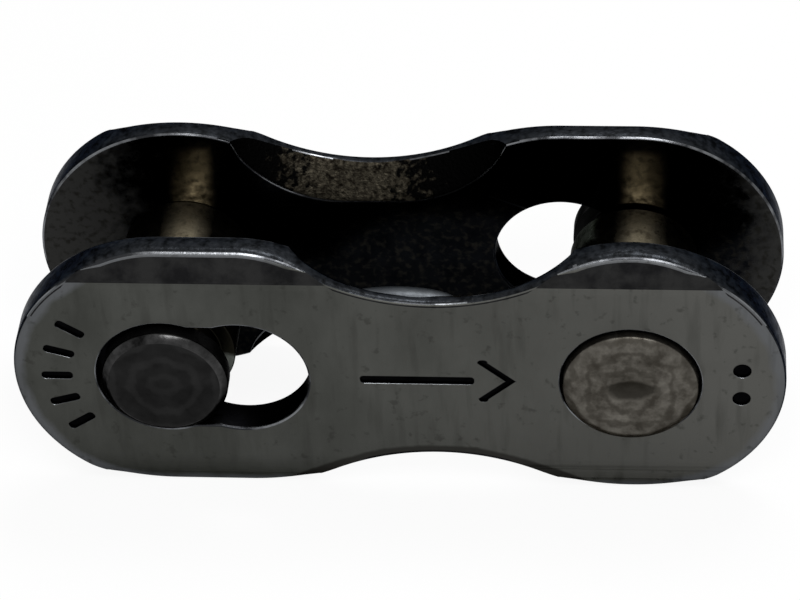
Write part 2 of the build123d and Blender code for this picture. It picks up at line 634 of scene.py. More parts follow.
@dataclass(frozen=True)
class BurnishedFace(Steel):
    """Inner face: near black with painted shade between the plates, lighter and duller at the ends,
    and more reflective in a patch above each pin.
    """

    # Lighter and rougher ends: the roughness is wear, the lighter colour is less painted shade.
    dull: Coat = Coat("#363635", 7.9 * MM, 9.5 * MM)
    dull_roughness: float = 0.55
    rubbed_and_shaded_x: float = 0.9               # middle of the rubbed and most shaded length, nearer to the keyhole
    end_sway: Clouds = Clouds(2.0, 1.8)
    end_spots: Clouds = Clouds(0.3, 1.3)
    mirror: Coat = Coat("#3e3b35", 0.0, 0.25 * MM)
    mirror_border: Clouds = Clouds(0.6, 0.15)
    mirror_shift: float = 0.25          # from the pin's axis to the middle of its patch
    mirror_half_width: float = 0.72
    mirror_z: tuple[float, float] = (1.4, 3.8)
    speck: Coat = Coat("#1d1c19", 0.5, 0.66, 0.7)
    speck_breadth: float = 0.22         # real specks are finer than this

    def towards_end(self, sheet: NodeSheet) -> Socket:
        """Measure the ragged distance from the middle of the rubbed length.

        Args:
            sheet: where the nodes go.

        Returns:
            The distance, in metres.
        """
        along = sheet.by_side("X")
        middle = {1: self.rubbed_and_shaded_x * MM}
        off_middle = sheet.add("Math", middle, {0: along}, operation="SUBTRACT").outputs[0]
        reach = sheet.add("Math", links={0: off_middle}, operation="ABSOLUTE").outputs[0]
        swaying = sheet.wavering(reach, self.end_sway)
        return sheet.wavering(swaying, self.end_spots)

    def dulled(self, sheet: NodeSheet, gloss: Socket) -> Socket:
        """Roughen both ends.

        Args:
            sheet: where the nodes go.
            gloss: roughness of the rubbed length.

        Returns:
            The roughness.
        """
        span = {"From Min": self.dull.bare, "From Max": self.dull.full}
        out = {"Value": self.towards_end(sheet)}
        share = sheet.add("MapRange", span, out).outputs["Result"]
        rough = {3: self.dull_roughness}
        return sheet.add("Mix", rough, {0: share, 2: gloss}, data_type="FLOAT").outputs[0]

    def overlaid_colour(self, sheet: NodeSheet, colour: Socket) -> Socket:
        """Lay the lighter, duller colour on both ends in spots, where the painted shade is less,
        and make a more reflective patch above each pin, which lifts the painted shade there.

        Args:
            sheet: where the nodes go.
            colour: the steel's patches.

        Returns:
            The worn colour.
        """
        ends = sheet.laid_over(colour, self.dull, self.towards_end(sheet))
        line = sheet.off_pin_line(self.mirror_shift)
        beside = {1: sheet.wavering(line, self.mirror_border)}
        half_width = {0: self.mirror_half_width * MM}
        across = sheet.add("Math", half_width, beside, operation="SUBTRACT").outputs[0]
        z = sheet.add("SeparateXYZ", links={0: sheet.place}).outputs["Z"]
        upright = sheet.within(z, *self.mirror_z)
        both = {0: across, 1: upright}
        depth = sheet.add("Math", links=both, operation="MINIMUM").outputs[0]
        polished = sheet.laid_over(ends, self.mirror, depth)
        pattern = {"Scale": per_metre(self.speck_breadth), "Detail": 4.0}
        specks = sheet.add("TexNoise", pattern, {"Vector": sheet.place}).outputs["Fac"]
        return sheet.laid_over(polished, self.speck, specks)


@dataclass(frozen=True)
class TornBevel(Steel):
    """Waist bevel: torn and grainy over one part, smooth and near black beside it."""

    smooth: Coat = Coat("#030303", 0.35 * MM, -0.35 * MM)
    smooth_border: Clouds = Clouds(0.2, 2.6)
    torn_x: tuple[float, float] = (-3.1, -0.1)      # where the torn part begins and ends

    def overlaid_colour(self, sheet: NodeSheet, colour: Socket) -> Socket:
        """Keep the torn colour between two places along the bevel.

        Args:
            sheet: where the nodes go.
            colour: the torn steel's patches.

        Returns:
            The colour of the whole bevel.
        """
        along = sheet.wavering(sheet.by_side("X"), self.smooth_border)
        return sheet.laid_over(colour, self.smooth, sheet.within(along, *self.torn_x))


@dataclass(frozen=True)
class GroundPin(Steel):
    """Bearing length: a painted highlight strip along the top, painted shade beside it, and painted
    light on the flank towards the entry hole.
    """

    painted_dark_sides: Coat = Coat("#171612", 0.2 * MM, 0.72 * MM)
    painted_dark_sides_border: Clouds = Clouds(0.5, 0.15)
    strip_shift: float = 0.2            # from the pin's axis to the middle of the painted highlight strip
    # Painted light: a lit patch on the flank towards the entry hole.
    painted_flank_light: Coat = Coat("#585b57", 0.0, 0.25 * MM)
    painted_flank_light_border: Clouds = Clouds(0.4, 0.2)
    painted_flank_light_x: tuple[float, float] = (4.0, 5.4)
    painted_flank_light_z: float = 0.05                 # least height above the axis; in front, below it
    painted_flank_light_y: float = 1.1                  # least distance from the pin's middle

    def overlaid_colour(self, sheet: NodeSheet, colour: Socket) -> Socket:
        """Paint shade on all but the highlight strip, and paint light on the flank towards the
        entry hole.

        Args:
            sheet: where the nodes go.
            colour: the ground steel's patches.

        Returns:
            The worn colour.
        """
        line = sheet.off_pin_line(self.strip_shift)
        dark_sided = sheet.laid_over(colour, self.painted_dark_sides, sheet.wavering(line, self.painted_dark_sides_border))
        y = sheet.add("SeparateXYZ", links={0: sheet.place}).outputs["Y"]
        off_middle = sheet.add("Math", links={0: y}, operation="ABSOLUTE").outputs[0]
        least_y, least_z = {1: self.painted_flank_light_y * MM}, {1: self.painted_flank_light_z * MM}
        to_end = sheet.add("Math", least_y, {0: off_middle}, operation="SUBTRACT").outputs[0]
        height = {0: sheet.by_side("Z")}
        leaning = sheet.add("Math", least_z, height, operation="SUBTRACT").outputs[0]
        beside = sheet.within(sheet.by_side("X"), *self.painted_flank_light_x)
        both = {0: beside, 1: leaning}
        flank = sheet.add("Math", links=both, operation="MINIMUM").outputs[0]
        all_three = {0: flank, 1: to_end}
        depth = sheet.add("Math", links=all_three, operation="MINIMUM").outputs[0]
        return sheet.laid_over(dark_sided, self.painted_flank_light, sheet.wavering(depth, self.painted_flank_light_border))


@dataclass(frozen=True)
class TurnedEnd(Steel):
    """End of a pin, with broken rings round its axis."""

    ring: Coat = Coat("#383838", 0.45, 0.95, 0.22)
    ring_step: float = 0.62             # from one ring to the next
    ring_waver: float = 5.0             # how far the rings are bent and broken

    def off_axis(self, sheet: NodeSheet) -> Socket:
        """Centre the surface's coordinates on the nearer pin's axis.

        Args:
            sheet: where the nodes go.

        Returns:
            The centred coordinates, flattened along the axis.
        """
        z = sheet.add("SeparateXYZ", links={0: sheet.place}).outputs["Z"]
        across = sheet.off_pin_line(0.0)
        return sheet.add("CombineXYZ", links={0: across, 2: z}).outputs[0]

    def overlaid_colour(self, sheet: NodeSheet, colour: Socket) -> Socket:
        """Add the rings.

        Args:
            sheet: where the nodes go.
            colour: the steel's patches.

        Returns:
            The ringed colour.
        """
        pattern = {
            "Scale": WAVE_STEP * per_metre(self.ring_step),
            "Distortion": self.ring_waver,
            "Detail": 4.0,
            "Detail Scale": 2.0,
        }
        centred = {"Vector": self.off_axis(sheet)}
        rings = sheet.add("TexWave", pattern, centred, wave_type="RINGS", rings_direction="Y")
        return sheet.laid_over(colour, self.ring, rings.outputs["Fac"])


@dataclass(frozen=True)
class PeenedEnd(TurnedEnd):
    """Riveted end of a pin: rings, and an oval punch mark in the middle."""

    punch: Coat = Coat("#2b2925", 0.4 * MM, 0.3 * MM, 0.9)
    punch_border: Clouds = Clouds(0.4, 0.15)
    punch_stretch: tuple[float, float, float] = (0.56, 0.0, 1.0)

    def overlaid_colour(self, sheet: NodeSheet, colour: Socket) -> Socket:
        """Add the rings, and darken the punch mark.

        Args:
            sheet: where the nodes go.
            colour: the steel's patches.

        Returns:
            The marked colour.
        """
        ringed = super().overlaid_colour(sheet, colour)
        centred = {0: self.off_axis(sheet)}
        shape = {1: self.punch_stretch}
        oval = sheet.add("VectorMath", shape, centred, operation="MULTIPLY").outputs[0]
        reach = sheet.add("VectorMath", links={0: oval}, operation="LENGTH").outputs["Value"]
        return sheet.laid_over(ringed, self.punch, sheet.wavering(reach, self.punch_border))


class PlateZone(IntEnum):
    """Finishes of a side plate, in the order of its material slots."""

    FACE = 0
    FACET = 1
    EDGE = 2
    RIM = 3
    INNER = 4
    TORN = 5
    LIP = 6
    WALL = 7


class PinZone(IntEnum):
    """Finishes of a pin, in the order of its material slots."""

    BEARING = 0
    HEAD = 1
    RIVET = 2
    CORNER = 3


PLATE_STEELS = {
    # Black-oxide carbon steel, blanked and then tumbled with the finished parts. It gives an even
    # satin grey, softly blotched, with faint upright draw marks and small scuffs.
    # Painted sheen and shade are laid over this steel by its class.
    PlateZone.FACE: TumbledFace(
        "tumbled_carbon_steel", "#4a4b48", "#3e3f3c", 0.42, stretch=(1.0, 1.0, 0.5)
    ),
    # The same steel, coined hard against the die, a little glossier than the face. Its darker
    # colour is partly the coined finish and partly painted shade, for only the upward flats and the
    # rounding under the waist get it.
    PlateZone.FACET: Steel(
        "coined_steel_painted_shade", "#2b2b2b", "#1a1a1b", 0.36, patch=0.7, softness=0.12
    ),
    # Sheared edge: a blue-black wall flecked with torn specks. Real shear marks are finer.
    PlateZone.EDGE: Steel(
        "sheared_carbon_steel",
        "#26282b",
        "#101112",
        0.34,
        patch=0.22,
        softness=0.13,
        grain_depth=0.012,
        grazing="#a8aaae",
    ),
    # Edges that tumbling rubs bare, with a painted highlight: a lighter steel that draws a thin
    # broken line of light round the plate, and on the outer rim only where it looks upwards.
    PlateZone.RIM: Steel(
        "rubbed_steel_painted_highlight", "#6e7073", "#2a2b2d", 0.24, patch=1.8, softness=0.07
    ),
    # Inner face, burnished by the inner link: glossy, and duller at both ends. Its near black is
    # painted shade between the plates.
    PlateZone.INNER: BurnishedFace(
        "burnished_steel_painted_shade",
        "#0d0e10",
        "#060709",
        0.13,
        roughness_spread=0.05,
        patch=0.8,
        grain_depth=0.001,
        grazing="#404040",
    ),
    # Steel torn as the waist was thinned: gold-brown specks in black. Real grains are finer still.
    PlateZone.TORN: TornBevel(
        "torn_carbon_steel",
        "#2e2b24",
        "#0d0b08",
        0.45,
        patch=0.14,
        softness=0.14,
        grain=0.1,
        grain_depth=0.03,
        grazing="#202020",
    ),
    # Metal rolled over the waist: smooth and soft-edged, with a painted sheen that makes it the
    # lightest part of the edge.
    PlateZone.LIP: Steel("rolled_lip_painted_sheen", "#4c4f52", "#303235", 0.42, patch=0.7),
    # Pierced walls of holes and marks: black, painted shade so that every opening reads as deep.
    PlateZone.WALL: Steel(
        "pierced_steel_painted_shade", "#0b0b0c", "#050506", 0.35, patch=0.8, grazing="#101010"
    ),
}

PIN_STEELS = {
    # Hardened pin steel, ground and stained; its straw colour and gloss make the painted highlight
    # strip.
    PinZone.BEARING: GroundPin(
        "hardened_pin_painted_highlight",
        "#b0a68e",
        "#4a4437",
        0.36,
        roughness_spread=0.1,
        patch=0.3,
        softness=0.15,
        grazing="#1c1c1a",
    ),
    # Pin steel cropped to length and turned to a head: dull charcoal with faint rings.
    PinZone.HEAD: TurnedEnd("cropped_pin_steel", "#242424", "#1a1a1a", 0.42, patch=0.8),
    # Pin steel spread by the riveting tool: lighter and stained, with the tool's swirl.
    PinZone.RIVET: PeenedEnd(
        "riveted_pin_steel",
        "#63605a",
        "#3c3934",
        0.4,
        patch=0.4,
        grain_depth=0.012,
        ring=Coat("#35322d", 0.45, 0.95, 0.6),
        ring_step=0.5,
        ring_waver=7.0,
    ),
    # Turned corner round both ends, a lighter steel: a painted sheen on the bevel.
    PinZone.CORNER: Steel(
        "pin_corner_painted_sheen", "#404040", "#121212", 0.22, patch=1.1, softness=0.12
    ),
}


# --- side plate ---------------------------------------------------------------------------------

# How a face of the mesh lies is told by its normal. The size of the normal's Y is 0 on a wall and 1
# on a face square to the pins.
WALL = 0.001                # at most, on a wall
ROUNDED = 0.05              # at least, on a rounding or a slope
SLOPING = 0.2               # at least, on the slopes and roundings behind the wall
OUTER_HALF = 0.5            # at least, on the outer half of a rounding
ROLLED = 0.75               # at least, where a rounding is as smooth as the face
FLAT = 0.999                # at least, on a flat face
NEARLY_FLAT = 0.995         # at most, on a rounding
RUBBED_INSIDE = 0.97        # at least, where the inner link rubs the inner rim
BEVELLED = (0.5, 0.95)      # between these, on a waist bevel
BESIDE_BEVEL = 0.99         # at least, on the inner face beside it
COINED = (0.9, 0.96)        # between these, on a coined flat
COINED_FOLD = (0.88, 0.97)  # between these, on a coined flat and its fold

# The normal's Z is above 0 on a face that looks upwards.
UPWARDS = 0.2
WELL_UPWARDS = 0.4
DOWNWARDS = -0.1


@dataclass
class SidePlate:
    """A stamped side plate in the front plate's place. All sizes are millimetres."""

    seat_x: float = -PIN_X
    entry_x: float = -4.3
    rivet_x: float = PIN_X
    outer_y: float = OUTER_Y
    inner_y: float = INNER_Y
    lobe_radius: float = 4.2
    waist_half_height: float = 2.74
    outline_steps: tuple[int, int, int, int] = (60, 20, 48, 80)     # seat, entry, waist, rivet
    rim_rounding: float = 0.16
    coined_rim_rounding: float = 0.17
    inner_rounding: float = 0.06
    hole_rounding: float = 0.06
    bevel_rounding: float = 0.09
    rounding_fade: float = 0.1          # over which a coined flat's rounding dies away
    seat_radius: float = 1.9
    seat_depth: float = SEAT_DEPTH
    entry_radius: float = 1.88
    channel_half_width: float = 1.77
    neck_half_width: float = 1.44
    stud_radius: float = 1.45
    slot_steps: int = 96
    facet_chord_z: float = 3.3
    facet_depth: float = 0.37
    upper_fold: float = 0.25
    lower_fold: float = 0.5
    fold_steps: int = 6
    bevel_floor: float = 1.88
    bevel_flat: float = 1.5
    bevel_corner: float = 3.4
    bevel_rise: float = 1.4
    bevel_fade: tuple[float, float] = (0.1, 0.4)    # room in which its rounding grows to full width
    mark_depth: float = 0.09
    mark_stroke: float = 0.25
    mark_rounding: float = 0.03
    arrow_x: float = 0.55
    arrow_length: float = 3.1
    barbs_x: float = 2.35               # of the arrow's two barbs, before their middle is drawn out
    barbs_height: float = 1.5
    barbs_reach: float = 0.75
    tick_radius: float = 3.0
    tick_length: float = 0.85
    tick_degrees: tuple[float, ...] = (146.0, 163.0, 180.0, 197.0, 214.0)
    dot_off_rivet: float = 3.0
    dot_z: float = 0.5
    dot_radius: float = 0.24
    dot_sides: int = 32
    lip_x: float = 0.1
    lip_y: float = -2.72
    lip_radii: tuple[float, float, float] = (1.6, 0.42, 0.34)
    shaded_reach: float = 3.2           # half the length of the rounding below the waist that gets painted shade
    shaded_depth: float = 0.25
    rim_without_highlight: tuple[float, float] = (1.0, 3.4)      # off the waist's middle, where the outer rim gets no painted highlight
    rim_depth: float = 0.47             # to which the roundings of the coined flats reach
    bevel_depths: tuple[float, float] = (0.3, 0.98)
    bevel_reach: float = 4.2
    shaded_channel: tuple[float, float] = (-6.0, 0.0)     # where the recess's lower wall gets painted shade too
    mouth_margins: tuple[float, float] = (0.08, 0.07)   # roundings of the channel and the holes
    margin: float = 0.01
    clear: float = 0.5                  # that a cutter reaches past the plate
    touching: float = 0.001             # within which a place counts as on a face
    piece: bpy.types.Object = field(init=False)

    @property
    def waist_x(self) -> float:
        """Middle of the waist."""
        return (self.entry_x + self.rivet_x) / 2

    @property
    def waist_radius(self) -> float:
        """Radius of the waist's arcs, which run into both lobes without a corner.

        Returns:
            The radius, in millimetres.
        """
        half_span = (self.rivet_x - self.entry_x) / 2
        rise = self.lobe_radius - self.waist_half_height
        return (half_span**2 + self.waist_half_height**2 - self.lobe_radius**2) / (2 * rise)

    @property
    def arc_z(self) -> float:
        """Height of the centre of the waist's upper arc."""
        return self.waist_half_height + self.waist_radius

    def waist_edge_z(self, x: float) -> float:
        """Height of the waist's upper edge at x."""
        rise = self.waist_radius - math.sqrt(self.waist_radius**2 - (x - self.waist_x) ** 2)
        return self.waist_half_height + rise

    def build(self) -> bpy.types.Object:
        """Model the plate up to its sharp edges.

        Returns:
            The plate, with one material slot for each zone.
        """
        self.piece = self.outline_wall()
        for zone in PlateZone:
            self.piece.data.materials.append(PLATE_STEELS[zone].material())
        self.close_faces()
        self.round_rims()
        self.coin_facets()
        soften(self.piece, self.coined_rim_rounding, self.coined_rim_share, PlateZone.RIM)
        self.cut_waist_bevels()
        soften(self.piece, self.bevel_rounding, self.bevel_edge_share, PlateZone.RIM)
        self.pierce_keyhole()
        self.pierce_rivet_hole()
        soften(self.piece, self.hole_rounding, self.mouth_edge_share, PlateZone.RIM)
        self.stamp_marks()
        soften(self.piece, self.mark_rounding, self.mouth_edge_share, PlateZone.RIM)
        self.dress()
        return self.piece

    def outline_wall(self) -> bpy.types.Object:
        """Sweep an edge along the pins round the upper outline, and mirror it below.

        Returns:
            The open wall of the plate.
        """
        wall = edge_along_y(self.seat_x - self.lobe_radius, 0, self.outer_y, self.inner_y)
        lean = math.degrees(math.atan2(self.arc_z, (self.rivet_x - self.entry_x) / 2))
        seat_steps, entry_steps, waist_steps, rivet_steps = self.outline_steps
        with editing(wall):
            bpy.ops.mesh.select_all(action="SELECT")
            sweep(self.seat_x, 0, -90, seat_steps)
            extrude(self.entry_x - self.seat_x, 0, 0)
            sweep(self.entry_x, 0, lean - 90, entry_steps)
            sweep(self.waist_x, self.arc_z, 180 - 2 * lean, waist_steps)
            sweep(self.rivet_x, 0, lean - 180, rivet_steps)
        apply_modifier(wall, "MIRROR", use_axis=(False, False, True), merge_threshold=MERGED)
        return wall

    def close_faces(self) -> None:
        """Fill the outer and the inner face inside the wall."""
        with editing(self.piece):
            fill_at(self.outer_y, self.inner_y)
            face_outwards()

    def round_rims(self) -> None:
        """Roll the whole outer rim, as stamping and tumbling leave it, and the inner one less."""
        inner = (self.inner_y, self.inner_rounding, 3)
        outer = (self.outer_y, self.rim_rounding, 6)
        with editing(self.piece):
            for y, rounding, steps in (inner, outer):
                select_edges_at(y)
                bpy.ops.mesh.bevel(
                    offset=rounding * MM, segments=steps, affect="EDGES", material=PlateZone.RIM
                )

    def coin_facets(self) -> None:
        """Press sloping flats into the outer face, above and below both lobes, behind folds."""
        slope = math.atan2(self.facet_depth, self.lobe_radius - self.facet_chord_z)
        with editing(self.piece):
            for side, fold in ((1, self.upper_fold), (-1, self.lower_fold)):
                bend_radius = fold / math.tan(slope / 2)
                for step in range(1, self.fold_steps + 1):
                    tilt = slope * step / self.fold_steps
                    z = self.facet_chord_z - fold + bend_radius * math.sin(tilt)
                    y = self.outer_y + bend_radius * (1 - math.cos(tilt))
                    bpy.ops.mesh.select_all(action="SELECT")
                    bpy.ops.mesh.bisect(
                        plane_co=(0, y * MM, side * z * MM),
                        plane_no=(0, -math.cos(tilt), side * math.sin(tilt)),
                        use_fill=True,
                        clear_outer=True,
                        threshold=ON_CUT,
                    )

    def cut_waist_bevels(self) -> None:
        """Thin both waist edges by slanted cuts from the inner face."""
        width = self.bevel_flat + 2 * self.bevel_corner
        lead = 0.2                      # the cutter starts this far behind the inner face
        run = self.inner_y - self.outer_y + lead
        corner = 0.9999 * self.bevel_corner     # just less, so that neighbouring corners stay apart
        for side in (1, -1):
            middle = self.bevel_floor + width / 2 - lead * self.bevel_rise
            bpy.ops.object.select_all(action="DESELECT")
            bpy.ops.mesh.primitive_plane_add(
                size=width * MM,
                location=(self.waist_x * MM, (self.inner_y + lead) * MM, side * middle * MM),
                rotation=(math.pi / 2, 0, 0),
            )
            cutter = bpy.context.object
            apply_place(cutter)
            with editing(cutter):
                bpy.ops.mesh.select_all(action="SELECT")
                bpy.ops.mesh.bevel(offset=corner * MM, segments=32, affect="VERTICES")
                bpy.ops.mesh.select_all(action="SELECT")
                extrude(0, -run, side * run * self.bevel_rise)
                face_outwards()
            cut_away(self.piece, cutter)

    def coined_rim_share(self, edge: bmesh.types.BMEdge) -> float:
        """Share of rounding where a coined flat meets the wall, less towards the flat's ends.

        Args:
            edge: an edge between two faces.

        Returns:
            The share, from 0 to 1.
        """
        wall, flat = sorted(abs(face.normal.y) for face in edge.link_faces)
        if wall > WALL or not COINED[0] < flat < COINED[1]:
            return 0.0
        drop = (edge.verts[0].co.y + edge.verts[1].co.y) / 2 / MM - self.outer_y
        return min(1.0, max(0.0, (drop - self.rim_rounding) / self.rounding_fade))

    def bevel_edge_share(self, edge: bmesh.types.BMEdge) -> float:
        """Share of rounding along the waist bevels, less where they run into the outline.

        Args:
            edge: an edge between two faces.

        Returns:
            The share, from 0 to 1.
        """
        steep, level = sorted(face.normal.y for face in edge.link_faces)
        middle = (edge.verts[0].co + edge.verts[1].co) / 2 / MM
        if level > BESIDE_BEVEL and BEVELLED[0] < steep < BEVELLED[1]:
            room = self.waist_edge_z(middle.x) - abs(middle.z)
        elif BEVELLED[0] < level < BEVELLED[1] and abs(steep) < WALL:
            room = self.inner_y - middle.y
        else:
            return 0.0
        none, full = self.bevel_fade
        return min(1.0, max(0.0, (room - none) / (full - none)))

    def mouth_edge_share(self, edge: bmesh.types.BMEdge) -> float:
        """Share of rounding round the mouths of holes and marks, the same all round.

        Args:
            edge: an edge between two faces.

        Returns:
            1 at a mouth and 0 elsewhere.
        """
        wall, flat = sorted(abs(face.normal.y) for face in edge.link_faces)
        y = (edge.verts[0].co.y + edge.verts[1].co.y) / 2 / MM
        at_a_face = min(abs(y - self.outer_y), abs(y - self.inner_y)) < self.touching
        return float(wall < WALL and flat > FLAT and at_a_face)

    def pierce_keyhole(self) -> None:
        """Cut the entry hole, the recess for the head and the narrow neck slot."""
        near, far = self.outer_y - self.clear, self.inner_y + self.clear
        floor = self.outer_y + self.seat_depth
        cut_away(self.piece, round_bar(self.entry_x, 0, self.entry_radius, near, far))
        cut_away(self.piece, self.slot_bar(self.seat_radius, self.channel_half_width, near, floor))
        cut_away(self.piece, self.slot_bar(self.neck_half_width, self.neck_half_width, near, far))

    def slot_bar(
        self, radius: float, half_width: float, near_y: float, far_y: float
    ) -> bpy.types.Object:
        """Bar for cutting a slot: round about the seat, then straight up to the entry hole.

        Args:
            radius: of the round end.
            half_width: of the straight part.
            near_y: its end towards the front.
            far_y: its end towards the rear.

        Returns:
            The bar.
        """
        reach = math.sqrt(radius**2 - half_width**2)
        turn = 360 - 2 * math.degrees(math.atan2(half_width, reach))
        straight = self.entry_x - self.seat_x - reach
        bar = edge_along_y(self.entry_x, half_width, near_y, far_y)
        with editing(bar):
            bpy.ops.mesh.select_all(action="SELECT")
            extrude(-straight, 0, 0)
            sweep(self.seat_x, 0, turn, self.slot_steps)
            extrude(straight, 0, 0)
            fill_at(near_y, far_y)
            select_where("EDGE", lambda e: e.is_boundary)
            bpy.ops.mesh.edge_face_add()
            face_outwards()
        return bar

    def pierce_rivet_hole(self) -> None:
        """Cut the stud hole and the recess that the riveted end fills."""
        near, far = self.outer_y - self.clear, self.inner_y + self.clear
        floor = self.outer_y + self.seat_depth
        cut_away(self.piece, round_bar(self.rivet_x, 0, self.seat_radius, near, floor))
        cut_away(self.piece, round_bar(self.rivet_x, 0, self.stud_radius, near, far))

    def stamp_marks(self) -> None:
        """Stamp an arrow on the waist, ticks round the seat and dots beyond the rivet."""
        cut_away(self.piece, self.stroke_bar(self.arrow_x, 0.0, self.arrow_length, 0.0))
        barbs = self.stroke_bar(self.barbs_x, 0.0, self.barbs_height, 90.0)
        with editing(barbs):
            bpy.ops.mesh.select_all(action="SELECT")
            bpy.ops.mesh.bisect(plane_co=(0, 0, 0), plane_no=(0, 0, 1))
            select_where("VERT", lambda v: abs(v.co.z) < ON_PLANE)
            bpy.ops.transform.translate(value=(self.barbs_reach * MM, 0, 0))
        cut_away(self.piece, barbs)
        for degrees in self.tick_degrees:
            turn = math.radians(degrees)
            x = self.seat_x + self.tick_radius * math.cos(turn)
            z = self.tick_radius * math.sin(turn)
            cut_away(self.piece, self.stroke_bar(x, z, self.tick_length, degrees))
        x = self.rivet_x + self.dot_off_rivet
        near, far = self.outer_y - self.clear, self.outer_y + self.mark_depth
        for z in (self.dot_z, -self.dot_z):
            cut_away(self.piece, round_bar(x, z, self.dot_radius, near, far, self.dot_sides))

    def stroke_bar(self, x: float, z: float, length: float, degrees: float) -> bpy.types.Object:
        """Bar for stamping one straight stroke.

        Args:
            x: middle of the stroke.
            z: middle of the stroke.
            length: of the stroke.
            degrees: lean of the stroke, from X towards Z.

        Returns:
            The bar.
        """
        depth = self.clear + self.mark_depth
        y = self.outer_y + self.mark_depth - depth / 2
        bpy.ops.object.select_all(action="DESELECT")
        bpy.ops.mesh.primitive_cube_add(
            size=1, location=(x * MM, y * MM, z * MM), rotation=(0, -math.radians(degrees), 0)
        )
        bar = bpy.context.object
        bar.scale = (length * MM, depth * MM, self.mark_stroke * MM)
        apply_place(bar)
        corner = 0.4 * self.mark_stroke         # leaves the stroke's ends nearly round
        with editing(bar):
            select_where(
                "EDGE", lambda e: abs(e.verts[0].co.y - e.verts[1].co.y) > self.mark_depth * MM
            )
            bpy.ops.mesh.bevel(offset=corner * MM, segments=4, affect="EDGES")
        return bar

    def roll_waist_lip(self, plate: bpy.types.Object) -> None:
        """Join on the smooth lip of metal that stamping rolled over the upper waist edge.

        Args:
            plate: a plate that this one's sizes made.
        """
        z = self.waist_edge_z(self.lip_x) - self.lip_radii[2]
        bpy.ops.object.select_all(action="DESELECT")
        bpy.ops.mesh.primitive_uv_sphere_add(
            segments=64,
            ring_count=32,
            radius=MM,
            location=(self.lip_x * MM, self.lip_y * MM, z * MM),
        )
        lip = bpy.context.object
        lip.scale = self.lip_radii
        apply_place(lip)
        for steel in plate.data.materials:
            lip.data.materials.append(steel)
        for face in lip.data.polygons:
            face.material_index = PlateZone.LIP
        apply_modifier(plate, "BOOLEAN", object=lip, operation="UNION", solver="EXACT")
        bpy.data.objects.remove(lip)

    def dress(self) -> None:
        """Give each zone of the plate its steel."""
        for face in self.piece.data.polygons:
            face.material_index = self.zone_of(face.center / MM, face.normal)

    def zone_of(self, centre: Vector, normal: Vector) -> PlateZone:
        """Tell which zone one face of the mesh belongs to.

        Args:
            centre: the face's middle, in millimetres.
            normal: the face's normal.

        Returns:
            The zone.
        """
        depth = centre.y - self.outer_y
        if normal.y < -FLAT and depth < self.touching:
            return PlateZone.FACE
        if normal.y > FLAT and centre.y > self.inner_y - self.touching:
            return PlateZone.INNER
        if self.over_hole(centre):
            return self.zone_in_hole(centre, normal)
        in_mark = depth < self.mark_depth + self.margin
        if in_mark and (normal.y < -FLAT or abs(normal.y) < ROUNDED):
            return PlateZone.WALL
        if normal.y < -ROUNDED:
            return self.zone_in_front(centre, normal)
        return self.zone_behind(centre, normal)

    def over_hole(self, centre: Vector) -> bool:
        """Tell whether a point lies in the keyhole or the rivet's hole, seen along the pins.

        Args:
            centre: the point, in millimetres.

        Returns:
            True inside a hole or on its rounded mouth.
        """
        beside_channel, round_holes = self.mouth_margins
        half_width = self.channel_half_width + beside_channel
        if self.seat_x < centre.x < self.entry_x and abs(centre.z) < half_width:
            return True
        flat = Vector((centre.x, centre.z))
        reach = self.seat_radius + round_holes
        centres = (self.seat_x, self.entry_x, self.rivet_x)
        return any((flat - Vector((x, 0))).length < reach for x in centres)

    def zone_in_hole(self, centre: Vector, normal: Vector) -> PlateZone:
        """Tell the zone of a face inside a hole or on its rounded mouth.

        Args:
            centre: the face's middle, in millimetres.
            normal: the face's normal.

        Returns:
            The zone.
        """
        if ROUNDED < abs(normal.y) < FLAT:
            return PlateZone.RIM if normal.y < 0 else PlateZone.EDGE
        # Painted light and shade: the lower walls of the recesses get the face's steel, while the
        # others, and those along the channel, get the black steel.
        in_recess = centre.y - self.outer_y < self.seat_depth - self.margin
        along_channel = self.shaded_channel[0] < centre.x < self.shaded_channel[1]
        painted_light = in_recess and normal.z > UPWARDS and not along_channel
        return PlateZone.FACE if painted_light else PlateZone.WALL

    def zone_in_front(self, centre: Vector, normal: Vector) -> PlateZone:
        """Tell the zone of a sloping face that looks forwards.

        Args:
            centre: the face's middle, in millimetres.
            normal: the face's normal.

        Returns:
            The zone.
        """
        depth = centre.y - self.outer_y
        off_waist = abs(centre.x - self.waist_x)
        below_waist = off_waist < self.shaded_reach and depth < self.shaded_depth
        # Painted shade: the rounding under the waist gets the darker coined steel.
        if below_waist and normal.z < DOWNWARDS and normal.y > -NEARLY_FLAT:
            return PlateZone.FACET
        # Painted shade: only the upward coined flats get the darker coined steel, the downward ones
        # keep the face's.
        if normal.y < -COINED_FOLD[0]:
            upper_flat = normal.y > -COINED_FOLD[1] and normal.z > UPWARDS
            return PlateZone.FACET if upper_flat else PlateZone.FACE
        if normal.y < -ROLLED:
            return PlateZone.FACE
        # Painted highlight: the lighter rim steel goes only on the upward outer rim and not in the
        # stretch beside the waist's middle; elsewhere the rim gets the darker edge steel.
        on_rim = depth < self.rim_depth and normal.y < -OUTER_HALF and normal.z > WELL_UPWARDS
        rubbed = not self.rim_without_highlight[0] < off_waist < self.rim_without_highlight[1]
        return PlateZone.RIM if on_rim and rubbed else PlateZone.EDGE

    def zone_behind(self, centre: Vector, normal: Vector) -> PlateZone:
        """Tell the zone of a wall, or of a sloping face that looks towards the other plate.

        Args:
            centre: the face's middle, in millimetres.
            normal: the face's normal.

        Returns:
            The zone.
        """
        if normal.y > RUBBED_INSIDE:
            return PlateZone.INNER
        if normal.y <= SLOPING:
            return PlateZone.EDGE
        inside_rims = self.bevel_depths[0] < centre.y - self.outer_y < self.bevel_depths[1]
        on_bevel = inside_rims and abs(centre.x - self.waist_x) < self.bevel_reach
        return PlateZone.TORN if on_bevel else PlateZone.RIM


# --- pin ----------------------------------------------------------------------------------------


